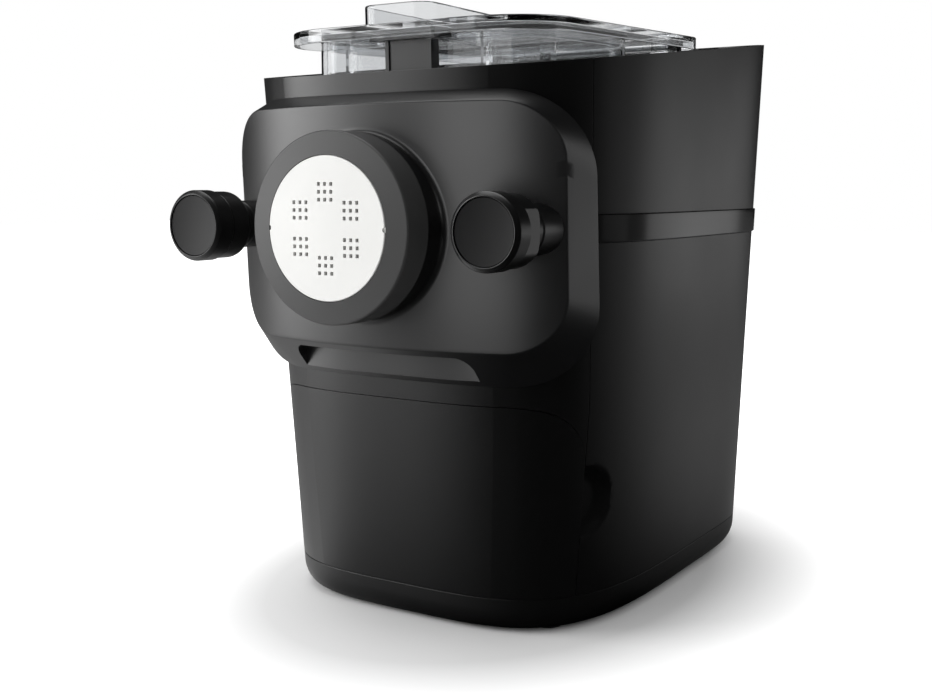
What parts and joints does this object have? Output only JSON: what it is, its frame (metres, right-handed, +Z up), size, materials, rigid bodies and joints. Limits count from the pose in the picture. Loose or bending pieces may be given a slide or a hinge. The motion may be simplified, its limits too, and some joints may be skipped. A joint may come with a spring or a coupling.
{
  "type": "electric pasta maker",
  "caption": "Upright countertop pasta machine: rounded black housing, clear lid over a mixing chamber, bowed front cover with shaping disc and side knobs, drawer in the base",
  "frame": {"origin": "middle of the box round the machine, on the table under the feet", "axes": "+X to the right seen from the front, +Y to the back, +Z up; the shaping disc faces -Y"},
  "size_m": [0.2416, 0.342, 0.3337],
  "materials": {
    "satin_black": "satin moulded",
    "base_black": "fine matt",
    "gloss_black": "polished",
    "ring_grey": "satin",
    "disc_white": "smooth",
    "clear_smoky": "clear, slightly smoky",
    "inner_grey": "moulded",
    "gear_nylon": "natural nylon",
    "board_green": "lacquered",
    "steel": "plain",
    "foot_rubber": "matt",
    "seal_rubber": "soft"
  },
  "bodies": {
    "housing": {"base_pan": "base_black", "foot_front_left": "foot_rubber", "foot_front_right": "foot_rubber", "foot_rear_left": "foot_rubber", "foot_rear_right": "foot_rubber", "base_screw_1": "steel", "base_screw_2": "steel", "base_screw_3": "steel", "base_screw_4": "steel", "body_shell": "satin_black", "front_shell": "satin_black", "top_deck": "base_black", "trim_band": "gloss_black", "power_inlet": "base_black", "lid_hinge_pin": "steel", "mixing_chamber": "clear_smoky", "inner_frame": "inner_grey", "load_cell_front": "steel", "load_cell_rear": "steel", "shaft_seal": "seal_rubber", "shaft_bearing": "steel", "intermediate_axle": "steel", "gearbox_housing": "inner_grey", "gearbox_cover": "inner_grey", "motor_can": "steel", "power_board": "board_green", "control_panel": "base_black", "display_window": "gloss_black", "control_board": "board_green", "drawer_runner_left": "steel", "drawer_runner_right": "steel", "lid_sensor": "base_black"},
    "front_cover": {"front_cover": "satin_black", "extrusion_tube": "base_black", "shaping_disc": "disc_white"},
    "clamp_ring": {"clamp_ring": "ring_grey"},
    "knob_left": {"knob_left": "satin_black", "knob_cap_left": "base_black", "knob_stem_left": "steel"},
    "knob_right": {"knob_right": "satin_black", "knob_cap_right": "base_black", "knob_stem_right": "steel"},
    "lid": {"lid": "clear_smoky", "lid_seal": "seal_rubber"},
    "lid_latch": {"lid_latch": "satin_black"},
    "drawer": {"drawer_front": "satin_black", "drawer_tray": "inner_grey", "spare_disc": "disc_white"},
    "drive": {"drive_shaft": "steel", "stirring_paddle": "inner_grey", "extrusion_screw": "base_black", "output_gear": "gear_nylon"},
    "intermediate": {"intermediate_gear": "gear_nylon"},
    "motor": {"motor_rotor": "steel", "cooling_fan": "gear_nylon"},
    "power_button": {"power_button": "gloss_black"},
    "menu_button": {"menu_button": "gloss_black"},
    "tare_button": {"tare_button": "gloss_black"},
    "start_button": {"start_button": "gloss_black"}
  },
  "joints": [
    {"name": "cover_slide", "type": "slide", "parent": "housing", "child": "front_cover", "axis": [0, -1, 0], "range_m": [0, 0.1]},
    {"name": "ring_turn", "type": "hinge", "parent": "front_cover", "child": "clamp_ring", "pos_m": [0, -0.16, 0.218], "axis": [0, -1, 0], "range_deg": [0, 45]},
    {"name": "knob_left_turn", "type": "hinge", "parent": "front_cover", "child": "knob_left", "pos_m": [-0.0905, -0.15, 0.218], "axis": [0, -1, 0], "range_deg": [0, 90]},
    {"name": "knob_right_turn", "type": "hinge", "parent": "front_cover", "child": "knob_right", "pos_m": [0.0905, -0.15, 0.218], "axis": [0, -1, 0], "range_deg": [0, 90]},
    {"name": "lid_hinge", "type": "hinge", "parent": "housing", "child": "lid", "pos_m": [0, 0.11116, 0.32862], "axis": [-1, 0, 0], "range_deg": [0, 80]},
    {"name": "latch_slide", "type": "slide", "parent": "lid", "child": "lid_latch", "axis": [0, -0.9993, -0.038], "range_m": [0, 0.005], "stiffness_N_per_m": 150},
    {"name": "drawer_slide", "type": "slide", "parent": "housing", "child": "drawer", "axis": [0, -1, 0], "range_m": [0, 0.085]},
    {"name": "drive_spin", "type": "hinge", "parent": "housing", "child": "drive", "pos_m": [0, -0.02, 0.218], "axis": [0, -1, 0], "continuous": true},
    {"name": "intermediate_spin", "type": "hinge", "parent": "housing", "child": "intermediate", "pos_m": [0, 0.05, 0.1532], "axis": [0, -1, 0], "continuous": true},
    {"name": "motor_spin", "type": "hinge", "parent": "housing", "child": "motor", "pos_m": [0, 0.1, 0.0992], "axis": [0, -1, 0], "continuous": true},
    {"name": "power_button_press", "type": "slide", "parent": "housing", "child": "power_button", "axis": [0, 0.1182, -0.993], "range_m": [0, 0.001], "stiffness_N_per_m": 300},
    {"name": "menu_button_press", "type": "slide", "parent": "housing", "child": "menu_button", "axis": [0, 0.1182, -0.993], "range_m": [0, 0.001], "stiffness_N_per_m": 300},
    {"name": "tare_button_press", "type": "slide", "parent": "housing", "child": "tare_button", "axis": [0, 0.1182, -0.993], "range_m": [0, 0.001], "stiffness_N_per_m": 300},
    {"name": "start_button_press", "type": "slide", "parent": "housing", "child": "start_button", "axis": [0, 0.1182, -0.993], "range_m": [0, 0.001], "stiffness_N_per_m": 300}
  ],
  "couplings": [
    {"joint": "intermediate_spin", "follows": "drive_spin", "ratio": -3},
    {"joint": "motor_spin", "follows": "drive_spin", "ratio": 15}
  ]
}
